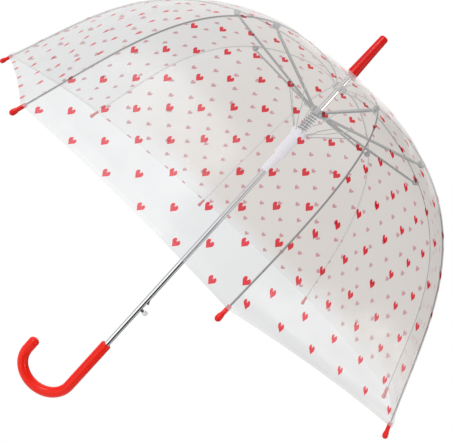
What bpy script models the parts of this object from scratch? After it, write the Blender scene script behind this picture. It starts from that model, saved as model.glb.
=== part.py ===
"""Clear dome umbrella with a crook handle, open. Metres, +Z up along the shaft, origin in the grip."""

import math

import bmesh
import bpy
import numpy as np
from mathutils import Matrix, Vector

# Driving dimensions. Heights are above the plane of the rib tips; RIM_Z lifts them all.
RIM_Z = 0.2794
RIBS = 8
RIB_PHASE = math.radians(7.85)
HALF_PANEL = math.pi / RIBS

RIB_START_R = 0.0095
RIB_START_H = 0.3357
RIB_SPAN = 0.5700
RIB_TILT = math.radians(7.06)
RIB_STEEPEST = math.radians(67.24)
RIB_FULL_SLOPE_AT = 0.4872
RIB_POWER = 2.34
RIB_DIP = 0.0192
RIB_DIP_REACH = 0.028
WIRE_R = 0.0012

SWAYED_RIB = 6
SWAY = math.radians(7.8)
SWAY_AT_TIP = math.radians(1.0)

PIVOT_R = 0.0095
CROWN_PIVOT_H = 0.3165
HUB_PIVOT_H = 0.2675
JOINT_R = 0.1912
JOINT_H = (CROWN_PIVOT_H + HUB_PIVOT_H) / 2
LINK_ON_STRETCHER = 0.060
RUNNER_PIVOT_R = 0.0118
RUNNER_PIVOT_H = 0.2274
LINK_WIRE_R = 0.0007
LINK_OFFSET = 0.0031
LINK_STRAIGHT = 0.34
LINK_ASIDE = 0.50

SHAFT_R = 0.0048
SHAFT_WALL = 0.0006
BORE_R = 0.0051
SHAFT_TOP_H = 0.3618
SHAFT_FOOT_H = -0.2744
FERRULE_FOOT_H = 0.3421
FERRULE_TOP_H = 0.4176
WASHER_FOOT_H = 0.3400
WASHER_THICK = 0.0018

FILM_GAP = 0.0019
FILM_THICK = 0.0005
FILM_END = 0.5515
FILM_BULGE = 0.0060
RIM_ARCH = 0.0040
ARCH_FROM = 0.40
HEM_TALL = 0.0100
CLEAR = 0.0003

TIP_LENGTH = 0.0210
TIP_START = 0.5460

GRIP_R = 0.0090
GRIP_TOP_H = -0.2344
GRIP_STRAIGHT_H = -0.3314
CROOK_HALF = 0.0462
CROOK_DEPTH = 0.0398
CROOK_END_H = -0.3081
CROOK_DOME = 0.0065

BUTTON_H = -0.1525

FINE = 1140


def clear_scene():
    for obj in list(bpy.data.objects):
        bpy.data.objects.remove(obj, do_unlink=True)


def material(name, colour, roughness, metallic=0.0, alpha=1.0):
    made = bpy.data.materials.new(name)
    made.use_nodes = True
    shader = made.node_tree.nodes["Principled BSDF"]
    shader.inputs["Base Color"].default_value = (*colour, 1.0)
    shader.inputs["Roughness"].default_value = roughness
    shader.inputs["Metallic"].default_value = metallic
    shader.inputs["Alpha"].default_value = alpha
    made.diffuse_color = (*colour, alpha)
    return made


clear_scene()
parts = bpy.data.collections.new("dome_umbrella")
helpers = bpy.data.collections.new("helpers")
bpy.context.scene.collection.children.link(parts)
bpy.context.scene.collection.children.link(helpers)

RED = material("red_plastic", (0.80, 0.035, 0.02), 0.16)
CHROME = material("bright_steel", (0.72, 0.73, 0.75), 0.14, 1.0)
WHITE = material("white_plastic", (0.86, 0.87, 0.92), 0.30)
GREY = material("grey_steel", (0.33, 0.34, 0.34), 0.38, 0.9)
DARK = material("dark_steel", (0.13, 0.13, 0.14), 0.35, 0.9)
SPRING = material("spring_steel", (0.60, 0.62, 0.64), 0.25, 1.0)
CAP = material("milky_plastic", (0.85, 0.86, 0.84), 0.35)
PINK = material("pale_collar", (0.92, 0.72, 0.70), 0.30)
FILM = material("clear_film", (0.88, 0.89, 0.88), 0.12, 0.0, 0.35)
HEM = material("film_hem", (0.90, 0.91, 0.90), 0.20, 0.0, 0.55)


def add(name, mesh, surface, collection=parts, at=(0.0, 0.0, 0.0), turn=0.0):
    obj = bpy.data.objects.new(name, mesh)
    obj.location = (at[0], at[1], at[2])
    obj.rotation_euler = (0.0, 0.0, turn)
    collection.objects.link(obj)
    if surface is not None and not mesh.materials:
        mesh.materials.append(surface)
    return obj


def helper(name, mesh):
    obj = add(name, mesh, None, helpers)
    obj.hide_render = True
    obj.display_type = "WIRE"
    return obj


def smooth(mesh, angle=35.0):
    mesh.shade_smooth()
    mesh.set_sharp_from_angle(angle=math.radians(angle))
    return mesh


def baked(obj, name):
    """The evaluated mesh of a curve or of a modified mesh, as plain mesh data."""
    graph = bpy.context.evaluated_depsgraph_get()
    graph.update()
    mesh = bpy.data.meshes.new_from_object(obj.evaluated_get(graph), depsgraph=graph)
    mesh.name = name
    work = bmesh.new()
    work.from_mesh(mesh)
    work.transform(obj.matrix_world)
    bmesh.ops.remove_doubles(work, verts=work.verts, dist=1e-6)
    bmesh.ops.recalc_face_normals(work, faces=work.faces)
    work.to_mesh(mesh)
    work.free()
    bpy.data.objects.remove(obj, do_unlink=True)
    mesh.materials.clear()
    return mesh


def box(name, low, high):
    work = bmesh.new()
    bmesh.ops.create_cube(work, size=1.0)
    for vertex in work.verts:
        for i in range(3):
            vertex.co[i] = low[i] if vertex.co[i] < 0 else high[i]
    mesh = bpy.data.meshes.new(name)
    work.to_mesh(mesh)
    work.free()
    return mesh


def rod(name, radius, start, end, sides=16):
    work = bmesh.new()
    axis = Vector(end) - Vector(start)
    turn = Vector((0, 0, 1)).rotation_difference(axis).to_matrix().to_4x4()
    place = Matrix.Translation((Vector(start) + Vector(end)) / 2) @ turn
    bmesh.ops.create_cone(
        work, cap_ends=True, segments=sides, radius1=radius, radius2=radius,
        depth=axis.length, matrix=place,
    )
    mesh = bpy.data.meshes.new(name)
    work.to_mesh(mesh)
    work.free()
    return mesh


def wire(name, points, radius, resolution=2, radii=None):
    data = bpy.data.curves.new(name, "CURVE")
    data.dimensions = "3D"
    data.bevel_depth = radius
    data.bevel_resolution = resolution
    data.use_fill_caps = True
    spline = data.splines.new("POLY")
    spline.points.add(len(points) - 1)
    for i, point in enumerate(points):
        spline.points[i].co = (*point, 1.0)
        spline.points[i].radius = 1.0 if radii is None else radii[i]
    obj = bpy.data.objects.new(name, data)
    helpers.objects.link(obj)
    return baked(obj, name)


def turned(name, profile, steps=32):
    """A solid of revolution about Z from a closed profile of (radius, height) corners."""
    work = bmesh.new()
    corners = [work.verts.new((radius, 0.0, height)) for radius, height in profile]
    for i, corner in enumerate(corners):
        work.edges.new((corner, corners[(i + 1) % len(corners)]))
    mesh = bpy.data.meshes.new(name)
    work.to_mesh(mesh)
    work.free()
    obj = bpy.data.objects.new(name, mesh)
    helpers.objects.link(obj)
    screw = obj.modifiers.new("turn", "SCREW")
    screw.steps = steps
    screw.render_steps = steps
    screw.use_merge_vertices = True
    screw.merge_threshold = 0.00001
    screw.use_normal_calculate = True
    return baked(obj, name)


def combine(mesh, others, operation):
    """The mesh joined with, or cut by, each of the others in turn."""
    obj = helper(mesh.name + "_work", mesh)
    tools = []
    for i, other in enumerate(others):
        tool = helper(f"{mesh.name}_tool_{i}", other)
        tools.append(tool)
        step = obj.modifiers.new(f"{operation}_{i}", "BOOLEAN")
        step.operation = operation
        step.solver = "EXACT"
        step.object = tool
    result = baked(obj, mesh.name)
    for tool in tools:
        bpy.data.objects.remove(tool, do_unlink=True)
    return result


def plate(name, outline, half):
    """A flat solid in the XZ plane, half its thickness to each side."""
    data = bpy.data.curves.new(name, "CURVE")
    data.dimensions = "2D"
    data.fill_mode = "BOTH"
    data.extrude = half
    spline = data.splines.new("POLY")
    spline.points.add(len(outline) - 1)
    spline.use_cyclic_u = True
    for i, (x, z) in enumerate(outline):
        spline.points[i].co = (x, z, 0.0, 1.0)
    obj = bpy.data.objects.new(name, data)
    obj.rotation_euler = (math.pi / 2, 0.0, 0.0)
    helpers.objects.link(obj)
    return baked(obj, name)


def rib_angle(i):
    """Direction of the upright plane that a rib folds in. One rib stands off its even place."""
    aside = SWAY if i % RIBS == SWAYED_RIB else 0.0
    return RIB_PHASE + 2 * HALF_PANEL * i + aside


def turned_about_z(mesh, angle):
    copy = mesh.copy()
    copy.transform(Matrix.Rotation(angle, 4, "Z"))
    return copy


def all_round(mesh):
    return [turned_about_z(mesh, rib_angle(i)) for i in range(RIBS)]


def moved(mesh, x=0.0, y=0.0, z=0.0):
    mesh.transform(Matrix.Translation((x, y, z)))
    return mesh


# The rib line: its slope grows from slight at the crown to steep at the rim.
STATIONS = np.linspace(0.0, RIB_SPAN, FINE + 1)
MIDDLES = (STATIONS[1:] + STATIONS[:-1]) / 2
GROWTH = np.sin(math.pi / 2 * np.minimum(MIDDLES / RIB_FULL_SLOPE_AT, 1.0)) ** RIB_POWER
SLOPES = RIB_TILT + (RIB_STEEPEST - RIB_TILT) * GROWTH
STEP = RIB_SPAN / FINE
LINE_R = np.concatenate([[0.0], np.cumsum(np.cos(SLOPES)) * STEP]) + RIB_START_R
LINE_H = RIB_START_H - np.concatenate([[0.0], np.cumsum(np.sin(SLOPES)) * STEP])
JOINT_S = float(np.interp(JOINT_R, LINE_R, STATIONS))


def line_at(s):
    """Radius, height and slope of the rib line at the length s."""
    radius = float(np.interp(s, STATIONS, LINE_R))
    height = float(np.interp(s, STATIONS, LINE_H))
    slope = float(np.interp(s, MIDDLES, SLOPES))
    return radius, height, slope


def rib_drift(i, s):
    """How far a rib has bent out of its plane at the length s, as an angle about the shaft."""
    if i % RIBS != SWAYED_RIB:
        return 0.0
    share = min(max((s - JOINT_S) / (TIP_START + TIP_LENGTH - JOINT_S), 0.0), 1.0)
    return (SWAY_AT_TIP - SWAY) * share


def rib_point(i, s):
    """A point of the rib wire, with its plane along +X."""
    radius, height, _ = line_at(s)
    drift = rib_drift(i, s)
    lowered = height - RIB_DIP * math.exp(-s / RIB_DIP_REACH)
    return Vector((radius * math.cos(drift), radius * math.sin(drift), lowered + RIM_Z))


def film_point(s, lift):
    """A point of the film's section over a rib, lifted outwards from the rib line."""
    radius, height, slope = line_at(s)
    cone = 0.0015 * math.exp(-s / 0.02)
    over_tip = 0.0022 * min(max((s - TIP_START + 0.012) / 0.010, 0.0), 1.0)
    out = FILM_GAP + lift + cone + over_tip
    return radius + out * math.sin(slope), height + out * math.cos(slope)


def panel_point(i, s, u, lift):
    """A point of the panel after rib i, seen from its even middle along +X. u runs from -1 to 1."""
    held = 1.0 - u * u
    s -= RIM_ARCH * held * max((s - ARCH_FROM) / (FILM_END - ARCH_FROM), 0.0)
    radius, height = film_point(s, lift)
    slope = line_at(s)[2]
    middle = RIB_PHASE + 2 * HALF_PANEL * i + HALF_PANEL
    first = rib_angle(i) + rib_drift(i, s) - middle
    second = rib_angle(i + 1) + rib_drift(i + 1, s) - middle + (2 * math.pi if i == RIBS - 1 else 0.0)
    half = (second - first) / 2
    across = (first + second) / 2
    swell = FILM_BULGE * math.sin(math.pi * min(s / FILM_END, 1.0)) ** 0.8 * held
    flat = Vector((radius * math.cos(half), (radius * math.sin(half) - CLEAR) * u, height + RIM_Z))
    outward = Vector((math.sin(slope), 0.0, math.cos(slope)))
    return Matrix.Rotation(across, 3, "Z") @ (flat + outward * swell)


def panel_mesh(name, i, stations, columns, low, high):
    """A closed panel between two ribs, from the film lifts low to high."""
    work = bmesh.new()
    sheets = []
    for lift in (low, high):
        sheets.append([
            [work.verts.new(panel_point(i, s, 2.0 * j / columns - 1.0, lift)) for j in range(columns + 1)]
            for s in stations
        ])
    inner, outer = sheets
    last = len(stations) - 1
    for row in range(last):
        for j in range(columns):
            under = row + 1
            work.faces.new((outer[row][j], outer[under][j], outer[under][j + 1], outer[row][j + 1]))
            work.faces.new((inner[row][j], inner[row][j + 1], inner[under][j + 1], inner[under][j]))
        for j in (0, columns):
            work.faces.new((inner[row][j], inner[row + 1][j], outer[row + 1][j], outer[row][j]))
    for j in range(columns):
        for row in (0, last):
            work.faces.new((inner[row][j], inner[row][j + 1], outer[row][j + 1], outer[row][j]))
    bmesh.ops.recalc_face_normals(work, faces=work.faces)
    mesh = bpy.data.meshes.new(name)
    work.to_mesh(mesh)
    work.free()
    return mesh


def ring_of(name, mesh, surface, radius, height, make=None, between=False):
    """One piece at each rib, or between two ribs, with its origin at the radius and height.

    The pieces that the swayed rib touches come from make; the others share one mesh.
    """
    special = (SWAYED_RIB, SWAYED_RIB - 1) if between else (SWAYED_RIB,)
    meshes = [make(i) if make and i in special else mesh for i in range(RIBS)]
    for i, piece in enumerate(meshes):
        if piece is not mesh or i == 0:
            smooth(moved(piece, -radius, 0.0, -height - RIM_Z))
        angle = RIB_PHASE + 2 * HALF_PANEL * i + HALF_PANEL if between else rib_angle(i)
        at = (radius * math.cos(angle), radius * math.sin(angle), height + RIM_Z)
        add(f"{name}_{i + 1}", piece, surface, at=at, turn=angle)


# Shaft: a thin steel tube, cut for the catch and the button.
tube = turned("shaft_tube", [
    (SHAFT_R, SHAFT_TOP_H + RIM_Z),
    (SHAFT_R, SHAFT_FOOT_H + RIM_Z),
    (SHAFT_R - SHAFT_WALL, SHAFT_FOOT_H + RIM_Z),
    (SHAFT_R - SHAFT_WALL, SHAFT_TOP_H + RIM_Z),
], 32)
BUTTON_Z = BUTTON_H + RIM_Z
catch_slot = box("catch_slot", (0.0, -0.0014, BUTTON_Z + 0.0126), (0.008, 0.0014, BUTTON_Z + 0.0251))
stem_hole = rod("stem_hole", 0.0029, (0.0, 0.0, BUTTON_Z), (0.008, 0.0, BUTTON_Z), 20)
tube = combine(tube, [catch_slot, stem_hole], "DIFFERENCE")
add("shaft_tube", smooth(tube), CHROME)

# Ferrule, the collar under it and the crown notch that holds the ribs.
ferrule = turned("ferrule", [
    (0.0040, FERRULE_TOP_H), (0.0056, FERRULE_TOP_H - 0.0004), (0.0066, FERRULE_TOP_H - 0.0014),
    (0.0070, FERRULE_TOP_H - 0.0030), (0.0074, FERRULE_TOP_H - 0.0200), (0.0078, FERRULE_TOP_H - 0.0360),
    (0.0083, FERRULE_TOP_H - 0.0530), (0.0088, FERRULE_FOOT_H + 0.0087), (0.0092, FERRULE_FOOT_H + 0.0032),
    (0.0095, FERRULE_FOOT_H), (BORE_R, FERRULE_FOOT_H), (BORE_R, SHAFT_TOP_H + 0.0015),
    (0.0, SHAFT_TOP_H + 0.0015), (0.0, FERRULE_TOP_H),
], 32)
add("ferrule", smooth(moved(ferrule, z=RIM_Z)), RED)

washer = turned("crown_washer", [
    (0.0112, WASHER_THICK), (0.0118, WASHER_THICK - 0.0005), (0.0118, 0.0005), (0.0113, 0.0),
    (BORE_R, 0.0), (BORE_R, WASHER_THICK),
], 32)
add("crown_washer", smooth(moved(washer, z=WASHER_FOOT_H + RIM_Z)), PINK)

notch = turned("crown_notch", [
    (0.0098, 0.0065), (0.0122, 0.0052), (0.0122, -0.0034), (0.0116, -0.0040),
    (BORE_R, -0.0040), (BORE_R, 0.0065),
], 32)
rib_slot = box("rib_slot", (0.0072, -0.0015, -0.0100), (0.016, 0.0015, 0.0042))
notch = combine(notch, all_round(rib_slot), "DIFFERENCE")
add("crown_notch", smooth(moved(notch, z=CROWN_PIVOT_H + RIM_Z)), WHITE)

# Upper hub: slotted for the stretchers, slides on the shaft.
hub = turned("upper_hub", [
    (0.0118, 0.0062), (0.0123, 0.0056), (0.0123, -0.0028), (0.0118, -0.0035),
    (BORE_R + 0.0001, -0.0035), (BORE_R + 0.0001, 0.0062),
], 32)
hub_slot = box("hub_slot", (0.0073, -0.0012, -0.0020), (0.016, 0.0012, 0.0140))
link_groove = box("link_groove", (0.0108, -0.0011, -0.0060), (0.017, 0.0011, 0.0010))
hub = combine(hub, all_round(hub_slot) + all_round(link_groove), "DIFFERENCE")
add("upper_hub", smooth(moved(hub, z=HUB_PIVOT_H + RIM_Z)), WHITE)

# Runner: star collar, sleeve and a narrower sleeve with a slot that clears the catch.
runner = turned("runner", [
    (0.0120, 0.0030), (0.0127, 0.0022), (0.0127, -0.0049), (0.0118, -0.0061),
    (0.0099, -0.0085), (0.0097, -0.0145), (0.0097, -0.0450), (0.0092, -0.0466),
    (0.0073, -0.0473), (0.0072, -0.0495), (0.0072, -0.0786), (0.0066, -0.0794),
    (BORE_R + 0.0001, -0.0794), (BORE_R + 0.0001, 0.0030),
], 32)
link_slot = box("link_slot", (0.0096, -0.0010, -0.0022), (0.016, 0.0010, 0.0065))
catch_way = box("catch_way", (0.0, -0.0021, -0.0845), (0.0110, 0.0021, -0.0600))
runner = combine(runner, all_round(link_slot) + [catch_way], "DIFFERENCE")
add("runner", smooth(moved(runner, z=RUNNER_PIVOT_H + RIM_Z)), WHITE)

# Coil spring between the runner and the upper hub.
TURNS = 7.0
PER_TURN = 12
SPRING_FOOT_H = RUNNER_PIVOT_H + 0.0037
SPRING_TOP_H = HUB_PIVOT_H - 0.0043
coil = []
for i in range(int(TURNS * PER_TURN) + 1):
    share = i / (TURNS * PER_TURN)
    angle = 2 * math.pi * TURNS * share
    height = SPRING_FOOT_H + (SPRING_TOP_H - SPRING_FOOT_H) * share
    coil.append((0.0074 * math.cos(angle), 0.0074 * math.sin(angle), height + RIM_Z))
add("coil_spring", smooth(wire("coil_spring", coil, 0.00045, 1), 60), SPRING)

# Catch: a leaf inside the shaft with a wedge that stands out through the slot.
leaf = box("spring_catch", (0.0016, -0.0011, -0.0029), (0.0023, 0.0011, 0.0239))
wedge_side = [(0.0018, 0.0235), (0.0046, 0.0231), (0.0078, 0.0147), (0.0078, 0.0139), (0.0018, 0.0139)]
catch = combine(leaf, [plate("wedge", wedge_side, 0.0011)], "UNION")
add("spring_catch", smooth(catch), DARK, at=(0.0, 0.0, BUTTON_Z))

# Release button: a stem through the shaft wall and a milky cap on its end.
ALONG_X = Matrix.Rotation(math.pi / 2, 4, "Y")
stem = turned("release_button_stem", [
    (0.0, 0.0108), (0.0018, 0.0108), (0.0018, 0.0088), (0.0026, 0.0084),
    (0.0026, 0.0028), (0.0, 0.0028),
], 20)
stem.transform(ALONG_X)
add("release_button_stem", smooth(stem), DARK, at=(0.0, 0.0, BUTTON_Z))
cap = turned("release_button_cap", [
    (0.0, 0.0166), (0.0020, 0.0163), (0.0036, 0.0153), (0.0044, 0.0138),
    (0.0045, 0.0100), (0.0042, 0.0092), (0.0021, 0.0092), (0.0021, 0.0111), (0.0, 0.0111),
], 28)
cap.transform(ALONG_X)
add("release_button_cap", smooth(cap), CAP, at=(0.0, 0.0, BUTTON_Z))

# Handle: a straight grip over the shaft's foot, then a crook with a round end.
path = []
radii = []
for depth, share in ((0.0, 0.84), (0.0004, 0.92), (0.0012, 0.985), (0.0022, 1.0)):
    path.append((0.0, 0.0, GRIP_TOP_H - depth))
    radii.append(share)
for share in (0.26, 0.41, 0.53, 0.83):
    path.append((0.0, 0.0, GRIP_TOP_H + (GRIP_STRAIGHT_H - GRIP_TOP_H) * share))
    radii.append(1.0)
BENDS = 20
for i in range(BENDS + 1):
    angle = math.pi * i / BENDS
    path.append((
        -CROOK_HALF + CROOK_HALF * math.cos(angle),
        0.0,
        GRIP_STRAIGHT_H - CROOK_DEPTH * math.sin(angle),
    ))
    radii.append(1.0)
for lean in (0, 30, 52, 70, 83):
    angle = math.radians(lean)
    path.append((-2 * CROOK_HALF, 0.0, CROOK_END_H - CROOK_DOME * (1.0 - math.sin(angle))))
    radii.append(math.cos(angle))
handle = wire("crook_handle", path, GRIP_R, 4, radii)
socket = rod("socket", BORE_R, (0.0, 0.0, SHAFT_FOOT_H - 0.0010), (0.0, 0.0, GRIP_TOP_H + 0.005), 32)
handle = combine(handle, [socket], "DIFFERENCE")
add("crook_handle", smooth(moved(handle, z=RIM_Z), 50), RED)

# Ribs: one wire each, with the block that the stretcher joins.
RIB_NODES = 22
WIRE_END = TIP_START + 0.0142
joint_slope = line_at(JOINT_S)[2]
block_top = (line_at(JOINT_S)[1] - JOINT_H) * math.cos(joint_slope) + 0.0009


def rib_mesh(i):
    points = [rib_point(i, WIRE_END * (j / RIB_NODES) ** 1.15) for j in range(RIB_NODES + 1)]
    inner = Vector((RIB_START_R - 0.0012, 0.0, points[0].z))
    rib = wire("rib", [inner] + points, WIRE_R, 1)
    block = box("block", (-0.0052, -0.0026, -0.0026), (0.0052, 0.0026, block_top))
    block_slot = box("block_slot", (-0.0062, -0.0012, -0.0040), (0.0062, 0.0012, 0.0021))
    block = combine(block, [block_slot], "DIFFERENCE")
    block.transform(Matrix.Rotation(joint_slope, 4, "Y"))
    moved(block, JOINT_R, 0.0, JOINT_H + RIM_Z)
    return combine(rib, [block], "UNION")


ring_of("rib", rib_mesh(0), GREY, PIVOT_R, CROWN_PIVOT_H, rib_mesh)


# Tip caps on the rib ends: a bore for the wire and a round bead at the end.
def tip_mesh(i):
    tip = turned("rib_tip", [
        (0.0, TIP_LENGTH), (0.0016, TIP_LENGTH - 0.0003), (0.0028, TIP_LENGTH - 0.0013),
        (0.0035, TIP_LENGTH - 0.0032), (0.0034, 0.0135), (0.0027, 0.0118), (0.0025, 0.0100),
        (0.0025, 0.0010), (0.0021, 0.0), (WIRE_R + CLEAR, 0.0), (WIRE_R + CLEAR, 0.0150), (0.0, 0.0150),
    ], 12)
    start = rib_point(i, TIP_START)
    along = rib_point(i, TIP_START + TIP_LENGTH) - start
    tip.transform(Vector((0.0, 0.0, 1.0)).rotation_difference(along).to_matrix().to_4x4())
    return moved(tip, *start)


tip_r, tip_h, _ = line_at(TIP_START)
ring_of("rib_tip", tip_mesh(0), RED, tip_r, tip_h, tip_mesh)

# Stretchers: a steel channel with a flat tab at each end.
reach = math.hypot(JOINT_R - PIVOT_R, JOINT_H - HUB_PIVOT_H)
rise = math.atan2(JOINT_H - HUB_PIVOT_H, JOINT_R - PIVOT_R)
bar = box("stretcher", (0.0090, -0.0020, -0.0015), (reach - 0.0100, 0.0020, 0.0015))
groove = box("groove", (0.0120, -0.0013, -0.0030), (reach - 0.0130, 0.0013, 0.0008))
bar = combine(bar, [groove], "DIFFERENCE")
near_tab = box("near_tab", (-0.0014, -0.0009, -0.0013), (0.0100, 0.0009, 0.0012))
far_tab = box("far_tab", (reach - 0.0112, -0.0009, -0.0012), (reach + 0.0016, 0.0009, 0.0013))
bar = combine(bar, [near_tab, far_tab], "UNION")
bar.transform(Matrix.Rotation(-rise, 4, "Y"))
moved(bar, PIVOT_R, 0.0, HUB_PIVOT_H + RIM_Z)
ring_of("stretcher", bar, GREY, JOINT_R, JOINT_H)

# Links: thin wires from the runner that pass beside the stretchers.
link_end_r = PIVOT_R + LINK_ON_STRETCHER * math.cos(rise)
link_end_h = HUB_PIVOT_H + LINK_ON_STRETCHER * math.sin(rise)
run = Vector((link_end_r - RUNNER_PIVOT_R, 0.0, link_end_h - RUNNER_PIVOT_H))
points = []
for along, side in ((-0.010, 0.0), (LINK_STRAIGHT, 0.0), (LINK_ASIDE, 1.0), (1.02, 1.0)):
    points.append((
        RUNNER_PIVOT_R + run.x * along,
        LINK_OFFSET * side,
        RUNNER_PIVOT_H + run.z * along + RIM_Z,
    ))
link = wire("link", points, LINK_WIRE_R, 1)
ring_of("link", link, DARK, RUNNER_PIVOT_R, RUNNER_PIVOT_H)

# Canopy: eight film panels, and the hem band inside the lower edge of each.
HEM_TOP = FILM_END - HEM_TALL
GORE_STATIONS = [*np.linspace(0.0016, TIP_START - 0.016, 15), HEM_TOP, FILM_END]


def gore_mesh(i):
    return panel_mesh("canopy_gore", i, GORE_STATIONS, 4, 0.0, FILM_THICK)


def hem_mesh(i):
    return panel_mesh("canopy_hem", i, [HEM_TOP, FILM_END], 4, -FILM_THICK - CLEAR, -CLEAR)


inward = math.cos(HALF_PANEL)
ring_of("canopy_gore", gore_mesh(0), FILM, PIVOT_R * inward, CROWN_PIVOT_H, gore_mesh, True)
hem_r, hem_h, _ = line_at(JOINT_S)
ring_of("canopy_hem", hem_mesh(0), HEM, hem_r * inward, hem_h, hem_mesh, True)
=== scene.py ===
"""Looks of the clear dome umbrella: each visible piece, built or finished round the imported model."""

import math

import bmesh
import bpy
import numpy as np
from mathutils import Matrix, Vector


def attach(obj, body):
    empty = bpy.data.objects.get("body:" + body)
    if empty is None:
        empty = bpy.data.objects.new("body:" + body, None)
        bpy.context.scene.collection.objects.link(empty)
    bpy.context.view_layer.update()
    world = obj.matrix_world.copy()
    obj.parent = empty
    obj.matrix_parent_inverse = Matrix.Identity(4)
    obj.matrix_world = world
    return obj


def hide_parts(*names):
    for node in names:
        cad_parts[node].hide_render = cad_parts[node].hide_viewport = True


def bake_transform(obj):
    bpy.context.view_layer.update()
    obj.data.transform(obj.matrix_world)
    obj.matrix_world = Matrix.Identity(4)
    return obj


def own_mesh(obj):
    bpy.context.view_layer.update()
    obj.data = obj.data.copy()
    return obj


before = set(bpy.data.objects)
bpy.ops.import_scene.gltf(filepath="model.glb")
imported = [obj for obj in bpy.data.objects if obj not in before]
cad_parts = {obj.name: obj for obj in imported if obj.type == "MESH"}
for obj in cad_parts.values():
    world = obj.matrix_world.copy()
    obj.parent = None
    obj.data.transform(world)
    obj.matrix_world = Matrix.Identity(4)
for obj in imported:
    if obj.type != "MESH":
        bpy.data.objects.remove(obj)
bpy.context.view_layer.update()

# Driving dimensions, in metres. Heights named _H are above the plane of the rib tips.
RIM_Z = 0.2794
RIBS = 8
RIB_PHASE = math.radians(7.85)
HALF_PANEL = math.pi / RIBS

RIB_START_R = 0.0095
RIB_START_H = 0.3357
RIB_SPAN = 0.5700
RIB_TILT = math.radians(7.06)
RIB_STEEPEST = math.radians(67.24)
RIB_FULL_SLOPE_AT = 0.4872
RIB_POWER = 2.34
RIB_DIP = 0.0192
RIB_DIP_REACH = 0.028
WIRE_R = 0.00110

# One rib stands off its even place at the crown, and nearly back in it at its tip.
SWAYED_RIB = 6
SWAY = math.radians(7.8)
SWAY_AT_TIP = math.radians(1.0)

PIVOT_R = 0.0095
PIVOT_WIRE_R = 0.00035
CROWN_PIVOT_H = 0.3165
HUB_PIVOT_H = 0.2675
JOINT_R = 0.1912
JOINT_H = (CROWN_PIVOT_H + HUB_PIVOT_H) / 2
LINK_ON_STRETCHER = 0.060
LINK_WIRE_R = 0.0007
RUNNER_PIVOT_R = 0.0118
RUNNER_PIVOT_H = 0.2274
LINK_OFFSET = 0.0031
LINK_STRAIGHT = 0.34
LINK_ASIDE = 0.50

SPRING_TURNS = 7.0
SPRING_R = 0.0074
SPRING_WIRE_R = 0.00065

BORE_R = 0.0051
SHAFT_TOP_H = 0.3618
SHAFT_FOOT_H = -0.2744
FERRULE_FOOT_H = 0.3421
FERRULE_TOP_H = 0.4176
WASHER_FOOT_H = 0.3400
WASHER_THICK = 0.0018

FILM_GAP = 0.0019
FILM_LIFT = 0.00025
FILM_START = 0.0016
FILM_END = 0.5515
FILM_BULGE = 0.0060
FILM_RIPPLE = 0.0007
FILM_CONE = 0.0015
FILM_CONE_REACH = 0.02
FILM_OVER_TIP = 0.0022
RIM_ARCH = 0.0040
ARCH_FROM = 0.40
HEM_TALL = 0.0055
HEM_LIFT = -0.0005
TIP_START = 0.5460
TIP_LENGTH = 0.0210

GRIP_R = 0.0090
GRIP_TOP_H = -0.2344
GRIP_STRAIGHT_H = -0.3314
CROOK_HALF = 0.0462
CROOK_DEPTH = 0.0398
CROOK_END_H = -0.3081
CROOK_DOME = 0.0065
BUTTON_H = -0.1525

# The printed hearts: rows and columns of a slanting lattice, then how each panel's print is shifted.
HEART_WIDTH = 0.0091
HEART_HEIGHT = 0.0103
HEART_PITCH = 0.0537
HEART_ROW = 0.0263
ODD_ROW_DROP = 0.0012
HEART_SKEW = 0.154
FIRST_HEART = 0.0075
FIRST_COLUMN = -0.0335
PRINT_RISE = (0.011, 0.004, 0.019, 0.008, -0.006, 0.0, 0.0070, 0.015)
PRINT_ASIDE = (0.0, 0.012, 0.021, -0.009, 0.004, 0.0, 0.0065, 0.017)
PRINT_LEAN = (0.0, 0.0, 0.0, 0.0, 0.0, 0.0, 0.13, 0.0)

# Steps that the rib line is worked out in.
RIB_STEPS = 1140


# ---------------------------------------------------------------- shader helpers

NOISE_RANGE = (0.3, 0.7)
PLASTIC_GRAIN = 0.05
PLASTIC_GRAIN_DEPTH = 0.00004
STEEL_LINE_STRENGTH = 0.12
STEEL_LINE_DEPTH = 0.00003

# Steel of the ribs: how far across its sides the paler inner face fades, a painted light, and the paler
# reach by radius.
INNER_FACE = (-0.20, 0.20)
CROWN_REACH = (0.060, 0.150)

# The heart, in units in which its square has sides of half the root of 2 and two half discs on it.
HEART_UNITS_WIDE = 1.207
HEART_UNITS_TALL = 1.104
LOBE_CENTRE = 0.25
LOBE_RADIUS = 0.3536
HALF_ROOT = 0.7071
CLEFT_SLOPE = 1.7
CLEFT_FLOOR = 0.26
HEART_EDGE = 0.03

# Film: its tint by place (x on the object, and the height v above the lower edge), gloss and print. The
# tints by place are painted shade and light: darker to the east outside, paler to the west and towards the
# rim inside.
FILM_EAST = (-0.05, 0.34)
FILM_EAST_SHARE = 0.9
FILM_EAST_PAINTED_SHADE = (0.90, 0.885, 0.87)
FILM_WEST = (-0.34, -0.12)
FILM_WEST_PAINTED_LIGHT = (0.96, 0.95, 0.94)
FILM_RIM = (-0.010, 0.042)
FILM_RIM_PAINTED_LIGHT = (0.95, 0.94, 0.93)
FILM_SLANT_POWER = 3.0
FILM_DEEPER = 0.93
FILM_IOR = 1.45
FILM_GLOSS_LIMIT = 0.45
FILM_INNER_GLOSS_LOSS = -0.85
PAINT_SHARE = 0.10


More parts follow.
